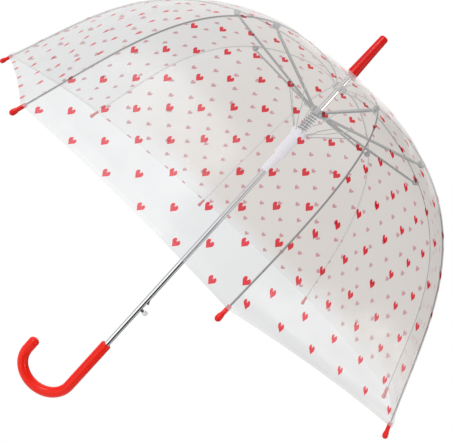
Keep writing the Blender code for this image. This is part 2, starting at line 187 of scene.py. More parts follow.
class Nodes:
    """A material's node tree, with short calls for the nodes used here."""

    def __init__(self, name, colour=(0.8, 0.8, 0.8)):
        self.material = bpy.data.materials.new(name)
        self.material.use_nodes = True
        self.material.diffuse_color = (*colour, 1.0)
        self.tree = self.material.node_tree
        self.tree.nodes.clear()
        self.output = self.tree.nodes.new("ShaderNodeOutputMaterial")

    def node(self, kind, **settings):
        made = self.tree.nodes.new(kind)
        for name, value in settings.items():
            setattr(made, name, value)
        return made

    def link(self, source, target):
        self.tree.links.new(source, target)

    def feed(self, socket, value):
        if isinstance(value, bpy.types.NodeSocket):
            self.link(value, socket)
        else:
            socket.default_value = value

    def math(self, operation, a, b=None, c=None):
        made = self.node("ShaderNodeMath", operation=operation)
        for i, value in enumerate((a, b, c)):
            if value is not None:
                self.feed(made.inputs[i], value)
        return made.outputs[0]

    def place(self, scale=(1.0, 1.0, 1.0)):
        """Object coordinates, stretched."""
        coordinates = self.node("ShaderNodeTexCoord")
        mapping = self.node("ShaderNodeMapping")
        mapping.inputs["Scale"].default_value = scale
        self.link(coordinates.outputs["Object"], mapping.inputs["Vector"])
        return mapping.outputs["Vector"]

    def split(self, vector, axis):
        """One coordinate of a vector."""
        made = self.node("ShaderNodeSeparateXYZ")
        self.link(vector, made.inputs[0])
        return made.outputs[axis]

    def noise(self, vector, scale, detail=3.0, rough=0.5):
        made = self.node("ShaderNodeTexNoise")
        self.link(vector, made.inputs["Vector"])
        made.inputs["Scale"].default_value = scale
        made.inputs["Detail"].default_value = detail
        made.inputs["Roughness"].default_value = rough
        return made.outputs["Fac"]

    def spread(self, value, source, target=(0.0, 1.0), curve="LINEAR"):
        """The value moved from the source range to the target range, and held at its ends."""
        made = self.node("ShaderNodeMapRange", interpolation_type=curve)
        self.link(value, made.inputs["Value"])
        for socket, number in zip(("From Min", "From Max", "To Min", "To Max"), (*source, *target)):
            made.inputs[socket].default_value = number
        return made.outputs["Result"]

    def ramp(self, noise, low, high):
        """A noise, most of which lies in NOISE_RANGE, spread over low to high."""
        return self.spread(noise, NOISE_RANGE, (low, high))

    def colours(self, factor, first, second):
        made = self.node("ShaderNodeMix", data_type="RGBA")
        self.feed(made.inputs["Factor"], factor)
        self.feed(made.inputs["A"], (*first, 1.0) if isinstance(first, tuple) else first)
        self.feed(made.inputs["B"], (*second, 1.0) if isinstance(second, tuple) else second)
        return made.outputs["Result"]

    def bump(self, height, strength, distance):
        made = self.node("ShaderNodeBump")
        self.link(height, made.inputs["Height"])
        made.inputs["Strength"].default_value = strength
        made.inputs["Distance"].default_value = distance
        return made.outputs["Normal"]

    def mix(self, factor, first, second):
        made = self.node("ShaderNodeMixShader")
        self.feed(made.inputs[0], factor)
        self.link(first, made.inputs[1])
        self.link(second, made.inputs[2])
        return made.outputs[0]

    def principled(self, **values):
        made = self.node("ShaderNodeBsdfPrincipled")
        for name, value in values.items():
            self.feed(made.inputs[name.replace("_", " ")], value)
        return made.outputs[0]

    def done(self, shader):
        self.link(shader, self.output.inputs["Surface"])
        return self.material


def moulded(name, light, dark, roughness, coat=0.0, inner=0.0, shine=0.5, glow=0.0):
    """Moulded plastic: slight flow marks in its colour, a fine skin and uneven gloss. Glow makes its colour
    shine by itself, a painted light.
    """
    n = Nodes(name, light)
    place = n.place()
    flow = n.noise(place, 34.0, 4.0)
    skin = n.noise(place, 900.0, 2.0)
    smear = n.noise(place, 120.0, 3.0)
    colour = n.colours(flow, light, dark)
    return n.done(n.principled(
        Base_Color=colour,
        Emission_Color=colour,
        Emission_Strength=glow,
        Roughness=n.ramp(smear, roughness * 0.75, roughness * 1.3),
        Specular_IOR_Level=shine,
        Coat_Weight=coat,
        Coat_Roughness=0.06,
        Subsurface_Weight=inner,
        Subsurface_Radius=(0.006, 0.004, 0.004),
        Subsurface_Scale=1.0,
        Normal=n.bump(skin, PLASTIC_GRAIN, PLASTIC_GRAIN_DEPTH),
    ))


def steel(
    name, light, dark, roughness, drawn=(1.0, 1.0, 1.0), wear=0.35, metallic=1.0, crown=None, inward_painted_light=None
):
    """Steel with drawing lines along it, small stains and uneven polish.

    It may have a brighter side towards the shaft, a painted light, and turn paler near the crown.
    """
    n = Nodes(name, light)
    lines = n.noise(n.place(drawn), 1500.0, 2.0)
    stains = n.noise(n.place(), 90.0, 5.0, 0.65)
    colour = n.colours(n.math("MULTIPLY", stains, wear), light, dark)
    # Painted light: the side facing the shaft is drawn paler.
    if inward_painted_light:
        outwards = n.node("ShaderNodeVectorMath", operation="NORMALIZE")
        n.link(n.place((1.0, 1.0, 0.0)), outwards.inputs[0])
        side = n.node("ShaderNodeVectorMath", operation="DOT_PRODUCT")
        n.link(outwards.outputs["Vector"], side.inputs[0])
        n.link(n.node("ShaderNodeNewGeometry").outputs["Normal"], side.inputs[1])
        colour = n.colours(n.spread(side.outputs["Value"], INNER_FACE, (1.0, 0.0)), colour, inward_painted_light)
    if crown:
        radius = n.node("ShaderNodeVectorMath", operation="LENGTH")
        n.link(n.place((1.0, 1.0, 0.0)), radius.inputs[0])
        colour = n.colours(n.spread(radius.outputs["Value"], CROWN_REACH, (1.0, 0.0)), colour, crown)
    return n.done(n.principled(
        Base_Color=colour,
        Metallic=metallic,
        Roughness=n.ramp(lines, roughness * 0.7, roughness * 1.5),
        Normal=n.bump(lines, STEEL_LINE_STRENGTH, STEEL_LINE_DEPTH),
    ))


def heart_mask(n, uv):
    """1 inside the printed hearts. u runs across a panel and v up from its lower edge, in metres."""
    across = n.split(uv, 0)
    up = n.math("SUBTRACT", n.split(uv, 1), FIRST_HEART)
    row_place = n.math("DIVIDE", up, HEART_ROW)
    row = n.math("ROUND", row_place)
    odd = n.math("FLOORED_MODULO", row, 2.0)
    rise = n.math("MULTIPLY", n.math("SUBTRACT", row_place, row), HEART_ROW)
    rise = n.math("ADD", rise, n.math("MULTIPLY", odd, ODD_ROW_DROP))
    straight = n.math("ADD", across, n.math("MULTIPLY", up, HEART_SKEW))
    along = n.math("DIVIDE", n.math("SUBTRACT", straight, FIRST_COLUMN), HEART_PITCH)
    column_place = n.math("SUBTRACT", along, n.math("MULTIPLY", odd, 0.5))
    column = n.math("ROUND", column_place)
    side = n.math("MULTIPLY", n.math("SUBTRACT", column_place, column), HEART_PITCH)
    x = n.math("ABSOLUTE", n.math("DIVIDE", side, HEART_WIDTH / HEART_UNITS_WIDE))
    y = n.math("DIVIDE", rise, HEART_HEIGHT / HEART_UNITS_TALL)
    diamond = n.math("SUBTRACT", 0.5, n.math("ADD", x, n.math("ABSOLUTE", y)))
    dx = n.math("SUBTRACT", x, LOBE_CENTRE)
    dy = n.math("SUBTRACT", y, LOBE_CENTRE)
    far = n.math("SQRT", n.math("ADD", n.math("MULTIPLY", dx, dx), n.math("MULTIPLY", dy, dy)))
    lobe = n.math("SUBTRACT", LOBE_RADIUS, far)
    full = n.math("MAXIMUM", n.math("MULTIPLY", diamond, HALF_ROOT), lobe)
    cleft = n.math("SUBTRACT", n.math("MULTIPLY_ADD", x, CLEFT_SLOPE, CLEFT_FLOOR), y)
    inside = n.math("MINIMUM", full, n.math("MULTIPLY", cleft, 0.5))
    return n.spread(inside, (-HEART_EDGE, HEART_EDGE))


def clear_film(name, near, far, haze_glow_share, gloss_share, hearts):
    """Thin clear film, with or without hearts: a cool veil from outside, a warmer one from inside.

    The outside is darker to the east, a painted shade. The inside is paler to the west and towards the rim,
    a painted light.
    """
    n = Nodes(name, near)
    place = n.place()
    slow = n.noise(place, 5.0, 2.0)
    creases = n.noise(place, 38.0, 3.0)
    normal = n.bump(n.math("ADD", slow, n.math("MULTIPLY", creases, 0.10)), 0.30, 0.010)
    inside = n.node("ShaderNodeNewGeometry").outputs["Backfacing"]
    facing = n.node("ShaderNodeLayerWeight")
    facing.inputs["Blend"].default_value = 0.35
    slant = n.math("POWER", facing.outputs["Facing"], FILM_SLANT_POWER)
    clouded = n.ramp(n.noise(place, 9.0, 3.0), 0.0, 0.12)
    x = n.split(place, 0)
    # Painted shade: the outside of the film is drawn darker to the east.
    east_painted_shade = tuple(c * k for c, k in zip(near, FILM_EAST_PAINTED_SHADE))
    near = n.colours(n.spread(x, FILM_EAST, (0.0, FILM_EAST_SHARE)), near, east_painted_shade)
    # Painted light: the inside of the film is drawn paler to the west.
    far = n.colours(n.spread(x, FILM_WEST, (1.0, 0.0)), far, FILM_WEST_PAINTED_LIGHT)
    if hearts:
        uv = n.node("ShaderNodeUVMap", uv_map="film").outputs[0]
        # Painted light: the inside of the film is drawn paler towards the rim.
        far = n.colours(n.spread(n.split(uv, 1), FILM_RIM, curve="SMOOTHSTEP"), FILM_RIM_PAINTED_LIGHT, far)
    veil = n.colours(inside, near, far)
    deeper = n.node("ShaderNodeVectorMath", operation="SCALE")
    n.link(veil, deeper.inputs[0])
    deeper.inputs["Scale"].default_value = FILM_DEEPER
    through = n.node("ShaderNodeBsdfTransparent")
    thick = n.math("ADD", slant, clouded)
    n.link(n.colours(thick, veil, deeper.outputs["Vector"]), through.inputs["Color"])
    # The film's milky haze is drawn as emission: a painted light that glows whatever the lamps do.
    milky_painted_glow = n.node("ShaderNodeEmission")
    n.link(n.colours(clouded, (0.90, 0.91, 0.93), (0.84, 0.85, 0.87)), milky_painted_glow.inputs["Color"])
    body = n.mix(haze_glow_share, through.outputs[0], milky_painted_glow.outputs[0])
    gloss = n.node("ShaderNodeBsdfGlossy")
    gloss.inputs["Color"].default_value = (1.0, 1.0, 1.0, 1.0)
    n.feed(gloss.inputs["Roughness"], n.ramp(creases, 0.16, 0.26))
    n.link(normal, gloss.inputs["Normal"])
    fresnel = n.node("ShaderNodeFresnel")
    fresnel.inputs["IOR"].default_value = FILM_IOR
    n.link(normal, fresnel.inputs["Normal"])
    shine = n.math("MINIMUM", n.math("MULTIPLY", fresnel.outputs[0], gloss_share), FILM_GLOSS_LIMIT)
    shine = n.math("MULTIPLY", shine, n.math("MULTIPLY_ADD", inside, FILM_INNER_GLOSS_LOSS, 1.0))
    if not hearts:
        return n.done(n.mix(shine, body, gloss.outputs[0]))
    mask = heart_mask(n, uv)
    patchy = n.noise(place, 260.0, 3.0)
    ink_near = n.colours(patchy, (0.78, 0.045, 0.070), (0.72, 0.035, 0.055))
    ink = n.node("ShaderNodeBsdfTransparent")
    n.link(n.colours(inside, ink_near, (0.62, 0.16, 0.19)), ink.inputs["Color"])
    paint = n.principled(Base_Color=(0.60, 0.020, 0.035, 1.0), Roughness=0.4)
    print_layer = n.mix(PAINT_SHARE, ink.outputs[0], paint)
    return n.done(n.mix(shine, n.mix(mask, body, print_layer), gloss.outputs[0]))


# ---------------------------------------------------------------- mesh helpers


def finish_mesh(name, work, material, angle=35.0):
    bmesh.ops.recalc_face_normals(work, faces=work.faces)
    mesh = bpy.data.meshes.new(name)
    work.to_mesh(mesh)
    work.free()
    mesh.shade_smooth()
    mesh.set_sharp_from_angle(angle=math.radians(angle))
    mesh.materials.append(material)
    obj = bpy.data.objects.new(name, mesh)
    bpy.context.scene.collection.objects.link(obj)
    return obj


def loft(work, rings):
    """Faces between rings of points, and over the first and last."""
    rows = [[work.verts.new(point) for point in ring] for ring in rings]
    count = len(rows[0])
    for first, second in zip(rows, rows[1:]):
        for j in range(count):
            k = (j + 1) % count
            work.faces.new((first[j], first[k], second[k], second[j]))
    work.faces.new(rows[0][::-1])
    work.faces.new(rows[-1])


def sweep(work, points, radius, sides):
    """A round bar along points, each ring square to the path."""
    points = [Vector(p) for p in points]
    rings = []
    side = None
    for i, point in enumerate(points):
        before = points[max(i - 1, 0)]
        after = points[min(i + 1, len(points) - 1)]
        ahead = (after - before).normalized()
        if side is None:
            side = Vector((0.0, 1.0, 0.0)) if abs(ahead.y) < 0.9 else Vector((1.0, 0.0, 0.0))
        side = (side - ahead * side.dot(ahead)).normalized()
        other = ahead.cross(side)
        rings.append([
            point + side * (radius * math.cos(a)) + other * (radius * math.sin(a))
            for a in (2 * math.pi * j / sides for j in range(sides))
        ])
    loft(work, rings)


def lathe(work, profile, steps=48, place=Matrix.Identity(4)):
    """A turned solid about Z from a closed profile of (radius, height) corners."""
    rows = []
    for radius, height in profile:
        if radius < 1e-7:
            rows.append([work.verts.new(place @ Vector((0.0, 0.0, height)))])
            continue
        turns = (2 * math.pi * j / steps for j in range(steps))
        rows.append([
            work.verts.new(place @ Vector((radius * math.cos(a), radius * math.sin(a), height)))
            for a in turns
        ])
    for first, second in zip(rows, rows[1:] + rows[:1]):
        if len(first) == 1 and len(second) == 1:
            continue
        for j in range(steps):
            k = (j + 1) % steps
            corners = [
                first[j % len(first)], first[k % len(first)],
                second[k % len(second)], second[j % len(second)],
            ]
            work.faces.new(list(dict.fromkeys(corners)))


def rounded(points, reach, steps=4):
    """The closed profile with each corner rounded by reach, where there is room."""
    result = []
    count = len(points)
    for i, point in enumerate(points):
        here = Vector(point)
        before = Vector(points[i - 1]) - here
        after = Vector(points[(i + 1) % count]) - here
        room = min(reach, before.length * 0.45, after.length * 0.45)
        on_axis = here.x < 1e-6
        if on_axis or room < 1e-6:
            result.append(tuple(here))
            continue
        first = here + before.normalized() * room
        last = here + after.normalized() * room
        for j in range(steps + 1):
            t = j / steps
            result.append(tuple(first * (1 - t) ** 2 + here * (2 * t * (1 - t)) + last * t * t))
    return result


def along_x(height):
    """Places a lathe's axis along X, at the height."""
    return Matrix.Translation((0, 0, height)) @ Matrix.Rotation(math.pi / 2, 4, "Y")


def rib_angle(i):
    """Direction of the upright plane that a rib folds in. One rib stands off its even place."""
    aside = SWAY if i % RIBS == SWAYED_RIB else 0.0
    return RIB_PHASE + 2 * HALF_PANEL * i + aside


def turn(angle):
    return Matrix.Rotation(angle, 4, "Z")


# ---------------------------------------------------------------- the rib line and the film

STATIONS = np.linspace(0.0, RIB_SPAN, RIB_STEPS + 1)
MIDDLES = (STATIONS[1:] + STATIONS[:-1]) / 2
GROWTH = np.sin(math.pi / 2 * np.minimum(MIDDLES / RIB_FULL_SLOPE_AT, 1.0)) ** RIB_POWER
SLOPES = RIB_TILT + (RIB_STEEPEST - RIB_TILT) * GROWTH
STEP = RIB_SPAN / RIB_STEPS
LINE_R = np.concatenate([[0.0], np.cumsum(np.cos(SLOPES)) * STEP]) + RIB_START_R
LINE_H = RIB_START_H - np.concatenate([[0.0], np.cumsum(np.sin(SLOPES)) * STEP])
JOINT_S = float(np.interp(JOINT_R, LINE_R, STATIONS))


def line_at(s):
    """Radius, height and slope of the rib line at the length s."""
    radius = float(np.interp(s, STATIONS, LINE_R))
    height = float(np.interp(s, STATIONS, LINE_H))
    slope = float(np.interp(s, MIDDLES, SLOPES))
    return radius, height, slope


def rib_drift(i, s):
    """How far a rib has bent out of its plane at the length s, as an angle about the shaft."""
    if i % RIBS != SWAYED_RIB:
        return 0.0
    share = min(max((s - JOINT_S) / (TIP_START + TIP_LENGTH - JOINT_S), 0.0), 1.0)
    return (SWAY_AT_TIP - SWAY) * share


def rib_point(i, s):
    """A point of the rib wire, with its plane along +X."""
    radius, height, _ = line_at(s)
    drift = rib_drift(i, s)
    lowered = height - RIB_DIP * math.exp(-s / RIB_DIP_REACH)
    return Vector((radius * math.cos(drift), radius * math.sin(drift), lowered + RIM_Z))


def film_point(s, lift):
    """A point of the film's section over a rib, lifted outwards from the rib line."""
    radius, height, slope = line_at(s)
    cone = FILM_CONE * math.exp(-s / FILM_CONE_REACH)
    over_tip = FILM_OVER_TIP * min(max((s - TIP_START + 0.012) / 0.010, 0.0), 1.0)
    out = FILM_GAP + lift + cone + over_tip
    return radius + out * math.sin(slope), height + out * math.cos(slope)


def panel_point(i, s, u, lift):
    """A point of the panel after rib i, and how far it lies from the panel's middle line.

    s is the length along the rib, and u runs from -1 to 1 between the two ribs.
    """
    held = 1.0 - u * u
    s -= RIM_ARCH * held * max((s - ARCH_FROM) / (FILM_END - ARCH_FROM), 0.0)
    radius, height = film_point(s, lift)
    slope = line_at(s)[2]
    first = rib_angle(i) + rib_drift(i, s)
    second = rib_angle(i + 1) + rib_drift(i + 1, s) + (2 * math.pi if i == RIBS - 1 else 0.0)
    half = (second - first) / 2
    ripple = FILM_RIPPLE * math.sin(9.0 * u + 1.7 * i) * math.sin(13.0 * s + 0.9 * i)
    full = FILM_BULGE * math.sin(math.pi * min(s / FILM_END, 1.0)) ** 1.5
    outward = Vector((math.sin(slope), 0.0, math.cos(slope)))
    aside = radius * math.sin(half) * u
    flat = Vector((radius * math.cos(half), aside, height + RIM_Z))
    return turn((first + second) / 2) @ (flat + outward * ((full + ripple) * held)), aside


def film_sheet(name, first, last, rows, columns, lift, i, material):
    """An open curved sheet between two ribs, with the print's coordinates in metres, and its area."""
    work = bmesh.new()
    layer = work.loops.layers.uv.new("film")
    grid = []
    for row in range(rows + 1):
        s = first + (last - first) * row / rows
        line = []
        for j in range(columns + 1):
            point, aside = panel_point(i, s, 2.0 * j / columns - 1.0, lift)
            up = FILM_END - s - PRINT_RISE[i]
            across = aside - PRINT_ASIDE[i] + PRINT_LEAN[i] * up
            line.append((work.verts.new(point), (across, up)))
        grid.append(line)
    for row in range(rows):
        for j in range(columns):
            corners = (grid[row][j], grid[row + 1][j], grid[row + 1][j + 1], grid[row][j + 1])
            face = work.faces.new([corner[0] for corner in corners])
            for loop, corner in zip(face.loops, corners):
                loop[layer].uv = corner[1]
    mesh = bpy.data.meshes.new(name)
    work.normal_update()
    work.to_mesh(mesh)
    area = sum(face.calc_area() for face in work.faces)
    work.free()
    mesh.shade_smooth()
    mesh.materials.append(material)
    obj = bpy.data.objects.new(name, mesh)
    bpy.context.scene.collection.objects.link(obj)
    return obj, area


# ---------------------------------------------------------------- materials

RED = moulded("glossy_red", (0.93, 0.020, 0.008), (0.88, 0.015, 0.006), 0.20, coat=0.10, shine=0.20)
RED_DEEP = moulded("ferrule_red", (0.74, 0.010, 0.006), (0.64, 0.007, 0.005), 0.24, coat=0.10, shine=0.20)
RED_TIP = moulded("tip_red", (0.82, 0.016, 0.014), (0.72, 0.012, 0.010), 0.26, shine=0.25)
# The runner's glow is painted light: its white shines by itself.
WHITE = moulded("runner_white_glowing", (0.92, 0.92, 1.0), (0.87, 0.87, 0.97), 0.34, coat=0.1, inner=0.1, glow=0.22)
CLOUDY = moulded("notch_cloudy", (0.74, 0.76, 0.76), (0.66, 0.68, 0.68), 0.40, inner=0.2)
HUB_GREY = moulded("hub_pale_grey", (0.56, 0.58, 0.59), (0.48, 0.50, 0.51), 0.40, coat=0.1)
MILKY = moulded("button_milky", (0.80, 0.82, 0.80), (0.72, 0.74, 0.72), 0.28, coat=0.3, inner=0.4)
COLLAR = moulded("collar_pink", (0.80, 0.34, 0.32), (0.74, 0.27, 0.26), 0.30, coat=0.2, inner=0.3)
CHROME = steel("shaft_chrome", (0.90, 0.91, 0.93), (0.66, 0.67, 0.69), 0.07, (1.0, 1.0, 0.02), 0.25)
CHANNEL = steel("channel_grey", (0.52, 0.54, 0.54), (0.36, 0.37, 0.37), 0.34)
# The ribs' paler side towards the shaft is painted light.
RIB_STEEL = steel(
    "rib_dark", (0.12, 0.12, 0.115), (0.06, 0.06, 0.055), 0.36, metallic=0.8,
    crown=(0.80, 0.79, 0.76), inward_painted_light=(0.86, 0.86, 0.83),
)
BLOCK_GREY = moulded("joint_grey", (0.36, 0.37, 0.37), (0.28, 0.29, 0.29), 0.42)
WIRE = steel("link_wire", (0.62, 0.63, 0.64), (0.42, 0.43, 0.44), 0.30)
COIL = steel("spring_wire", (0.17, 0.19, 0.21), (0.09, 0.10, 0.11), 0.30)
DARK = steel("catch_dark", (0.12, 0.12, 0.13), (0.06, 0.06, 0.07), 0.34)
PIN = steel("pin_steel", (0.62, 0.63, 0.64), (0.40, 0.41, 0.42), 0.25)
FILM = clear_film("clear_film_hearts", (0.762, 0.768, 0.770), (0.830, 0.738, 0.660), 0.22, 0.5, True)
FILM_HEM = clear_film("clear_film_hem", (0.994, 0.995, 0.996), (0.992, 0.991, 0.990), 0.005, 0.5, False)


# ---------------------------------------------------------------- pieces carried over from the CAD


def repaint(node, material, bevel=0.0):
    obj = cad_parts[node]
    obj.data.materials.clear()
    obj.data.materials.append(material)
    obj.data.shade_smooth()
    obj.data.set_sharp_from_angle(angle=math.radians(32))
    if bevel:
        soft = obj.modifiers.new("edges", "BEVEL")
        soft.width = bevel
        soft.segments = 2
        soft.limit_method = "ANGLE"
        soft.angle_limit = math.radians(40)


repaint("shaft_tube", CHROME)
repaint("crown_notch", CLOUDY)
repaint("upper_hub", HUB_GREY)
repaint("spring_catch", DARK)
repaint("release_button_stem", DARK)
for k in range(1, RIBS + 1):
    repaint(f"stretcher_{k}", CHANNEL)


# ---------------------------------------------------------------- handle, ferrule, collar, runner


def build_handle():
    sides = 48

    def ring(x, z, out_x, out_z, radius):
        turns = (2 * math.pi * j / sides for j in range(sides))
        return [
            (
                x + out_x * radius * math.cos(a),
                radius * math.sin(a),
                z + out_z * radius * math.cos(a) + RIM_Z,
            )
            for a in turns
        ]

    bore_floor = SHAFT_FOOT_H - 0.0010
    rings = [ring(0.0, bore_floor, 1.0, 0.0, BORE_R), ring(0.0, GRIP_TOP_H - 0.0004, 1.0, 0.0, BORE_R)]
    rings.append(ring(0.0, GRIP_TOP_H, 1.0, 0.0, BORE_R + 0.0004))
    for depth, share in ((0.0, 0.86), (0.0003, 0.92), (0.0008, 0.965), (0.0015, 0.99), (0.0024, 1.0)):
        rings.append(ring(0.0, GRIP_TOP_H - depth, 1.0, 0.0, GRIP_R * share))
    straight = 12
    for j in range(1, straight):
        z = GRIP_TOP_H - 0.0024 + (GRIP_STRAIGHT_H - GRIP_TOP_H + 0.0024) * j / straight
        rings.append(ring(0.0, z, 1.0, 0.0, GRIP_R))
    bends = 48
    for j in range(bends + 1):
        a = math.pi * j / bends
        out = Vector((CROOK_DEPTH * math.cos(a), -CROOK_HALF * math.sin(a))).normalized()
        x = -CROOK_HALF + CROOK_HALF * math.cos(a)
        rings.append(ring(x, GRIP_STRAIGHT_H - CROOK_DEPTH * math.sin(a), out.x, out.y, GRIP_R))
    rise = CROOK_END_H - CROOK_DOME - GRIP_STRAIGHT_H
    for j in range(1, 4):
        rings.append(ring(-2 * CROOK_HALF, GRIP_STRAIGHT_H + rise * j / 4, -1.0, 0.0, GRIP_R))
    for j in range(12):
        a = math.radians(88) * j / 11
        z = CROOK_END_H - CROOK_DOME * (1.0 - math.sin(a))
        rings.append(ring(-2 * CROOK_HALF, z, -1.0, 0.0, GRIP_R * math.cos(a)))
    work = bmesh.new()
    loft(work, rings)
    handle = finish_mesh("handle_crook", work, RED, 50)
    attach(handle, "frame")
    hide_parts("crook_handle")


def build_ferrule():
    top, foot = FERRULE_TOP_H, FERRULE_FOOT_H
    profile = [
        (0.0, top), (0.0040, top), (0.0056, top - 0.0004), (0.0066, top - 0.0014), (0.0070, top - 0.0030),
        (0.0074, top - 0.0200), (0.0078, top - 0.0360), (0.0083, top - 0.0530),
        (0.0088, foot + 0.0087), (0.0092, foot + 0.0032), (0.0095, foot),
        (BORE_R, foot), (BORE_R, SHAFT_TOP_H + 0.0015), (0.0, SHAFT_TOP_H + 0.0015),
    ]
    work = bmesh.new()
    lathe(work, profile, 56, Matrix.Translation((0, 0, RIM_Z)))
    ferrule = finish_mesh("ferrule_red", work, RED_DEEP, 40)
    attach(ferrule, "frame")
    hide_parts("ferrule")


def build_collar():
    foot, top = WASHER_FOOT_H, WASHER_FOOT_H + WASHER_THICK
    profile = rounded([(0.0118, top), (0.0118, foot), (BORE_R, foot), (BORE_R, top)], 0.0005)
    work = bmesh.new()
    lathe(work, profile, 56, Matrix.Translation((0, 0, RIM_Z)))
    collar = finish_mesh("film_collar", work, COLLAR, 40)
    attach(collar, "frame")
    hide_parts("crown_washer")


def build_wire_ring(name, radius, height, body):
    """The thin wire that threads the pivots of a slotted ring."""
    work = bmesh.new()
    points = 72
    rows = []
    for angle in (2 * math.pi * i / points for i in range(points)):
        x, y = radius * math.cos(angle), radius * math.sin(angle)
        outward = Vector((x, y, 0)).normalized()
        centre = Vector((x, y, height + RIM_Z))
        rows.append([
            work.verts.new(
                centre + outward * (PIVOT_WIRE_R * math.cos(a)) + Vector((0, 0, PIVOT_WIRE_R * math.sin(a)))
            )
            for a in (2 * math.pi * j / 8 for j in range(8))
        ])
    for i in range(points):
        nearby = rows[(i + 1) % points]
        for j in range(8):
            work.faces.new((rows[i][j], nearby[j], nearby[(j + 1) % 8], rows[i][(j + 1) % 8]))
    obj = finish_mesh(name, work, PIN, 60)
    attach(obj, body)


def build_spring():
    foot, top = RUNNER_PIVOT_H + 0.0037, HUB_PIVOT_H - 0.0043
    steps = int(SPRING_TURNS * 36)
    points = []
    for i in range(steps + 1):
        share = i / steps
        angle = 2 * math.pi * SPRING_TURNS * share
        height = foot + (top - foot) * share
        points.append((SPRING_R * math.cos(angle), SPRING_R * math.sin(angle), height + RIM_Z))
    work = bmesh.new()
    sweep(work, points, SPRING_WIRE_R, 10)
    spring = finish_mesh("runner_spring", work, COIL, 60)
    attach(spring, "runner")
    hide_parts("coil_spring")
    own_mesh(spring)


def build_button():
    profile = [
        (0.0, 0.0166), (0.0012, 0.01655), (0.0022, 0.0163), (0.0031, 0.0158), (0.0038, 0.0151),
        (0.0043, 0.0141), (0.0045, 0.0130), (0.0045, 0.0103), (0.0043, 0.0096), (0.0039, 0.0092),
        (0.0021, 0.0092), (0.0021, 0.0111), (0.0, 0.0111),
    ]
    work = bmesh.new()
    lathe(work, profile, 40, along_x(BUTTON_H + RIM_Z))
    cap = finish_mesh("button_cap", work, MILKY, 40)
    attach(cap, "button")
    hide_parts("release_button_cap")


repaint("runner", WHITE)
build_handle()
build_ferrule()
build_collar()
build_spring()
build_button()
build_wire_ring("crown_wire", PIVOT_R, CROWN_PIVOT_H, "frame")
build_wire_ring("hub_wire", PIVOT_R, HUB_PIVOT_H, "upper_hub")
build_wire_ring("runner_wire", RUNNER_PIVOT_R, RUNNER_PIVOT_H, "runner")


# ---------------------------------------------------------------- ribs, tips, joints and links


def build_rib(i):
    angle = rib_angle(i)
    last = TIP_START + 0.0142
    points = [rib_point(i, last * (j / 60) ** 1.1) for j in range(61)]
    points.insert(0, Vector((RIB_START_R - 0.0012, 0.0, points[0].z)))
    work = bmesh.new()
    sweep(work, points, WIRE_R, 12)
    bmesh.ops.transform(work, matrix=turn(angle), verts=work.verts)
    rib = finish_mesh(f"rib_wire_{i + 1}", work, RIB_STEEL, 60)
    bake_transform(rib)
    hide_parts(f"rib_{i + 1}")


def build_joint(i):
    """The moulded block on the rib, its cheeks either side of the stretcher's tab, and its rivet."""
    slope = line_at(JOINT_S)[2]
    top = (line_at(JOINT_S)[1] - JOINT_H) * math.cos(slope)
    work = bmesh.new()
    outline = rounded([(-0.0052, top - 0.0016), (-0.0047, top + 0.0014), (0.0047, top + 0.0014),
                       (0.0052, top - 0.0016), (0.0026, -0.0027), (-0.0026, -0.0027)], 0.0014, 3)
    for low, high in ((-0.0026, -0.0012), (0.0012, 0.0026)):
        loft(work, [[(x, y, z) for x, z in outline] for y in (low, high)])
    bridge = rounded([(-0.0051, top - 0.0014), (-0.0047, top + 0.0016), (0.0047, top + 0.0016),
                      (0.0051, top - 0.0014)], 0.0010, 3)
    loft(work, [[(x, y, z) for x, z in bridge] for y in (-0.0013, 0.0013)])
    place = turn(rib_angle(i)) @ Matrix.Translation((JOINT_R, 0.0, JOINT_H + RIM_Z))
    bmesh.ops.transform(
        work, matrix=place @ Matrix.Rotation(slope, 4, "Y"), verts=work.verts
    )
    bmesh.ops.remove_doubles(work, verts=work.verts, dist=1e-7)
    block = finish_mesh(f"rib_joint_{i + 1}", work, BLOCK_GREY, 40)
    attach(block, f"rib_{i + 1}")
    work = bmesh.new()
    profile = [(0.0, 0.0031), (0.0008, 0.0031), (0.0011, 0.0029), (0.0012, 0.00275), (0.0007, 0.0027),
               (0.0007, -0.0027), (0.0012, -0.00275), (0.0011, -0.0029), (0.0008, -0.0031), (0.0, -0.0031)]
    lathe(work, profile, 20, place @ Matrix.Rotation(-math.pi / 2, 4, "X"))
    rivet = finish_mesh(f"rib_joint_rivet_{i + 1}", work, PIN, 40)
    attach(rivet, f"rib_{i + 1}")


def build_tip(i):
    profile = [
        (0.0, TIP_LENGTH), (0.0009, TIP_LENGTH - 0.0001), (0.0018, TIP_LENGTH - 0.0005),
        (0.0026, TIP_LENGTH - 0.0012), (0.0032, TIP_LENGTH - 0.0022), (0.0035, TIP_LENGTH - 0.0036),
        (0.0035, TIP_LENGTH - 0.0050), (0.0033, 0.0140), (0.0029, 0.0125), (0.0026, 0.0112),
        (0.0025, 0.0100), (0.0025, 0.0010), (0.0023, 0.0003), (0.0019, 0.0),
        (WIRE_R + 0.0003, 0.0), (WIRE_R + 0.0003, 0.0145), (0.0, 0.0145),
    ]
    start = rib_point(i, TIP_START)
    along = rib_point(i, TIP_START + TIP_LENGTH) - start
    aim = Vector((0.0, 0.0, 1.0)).rotation_difference(along).to_matrix().to_4x4()
    work = bmesh.new()
    lathe(work, profile, 32, turn(rib_angle(i)) @ Matrix.Translation(start) @ aim)
    tip = finish_mesh(f"tip_cap_{i + 1}", work, RED_TIP, 40)
    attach(tip, f"tip_{i + 1}")
    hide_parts(f"rib_tip_{i + 1}")


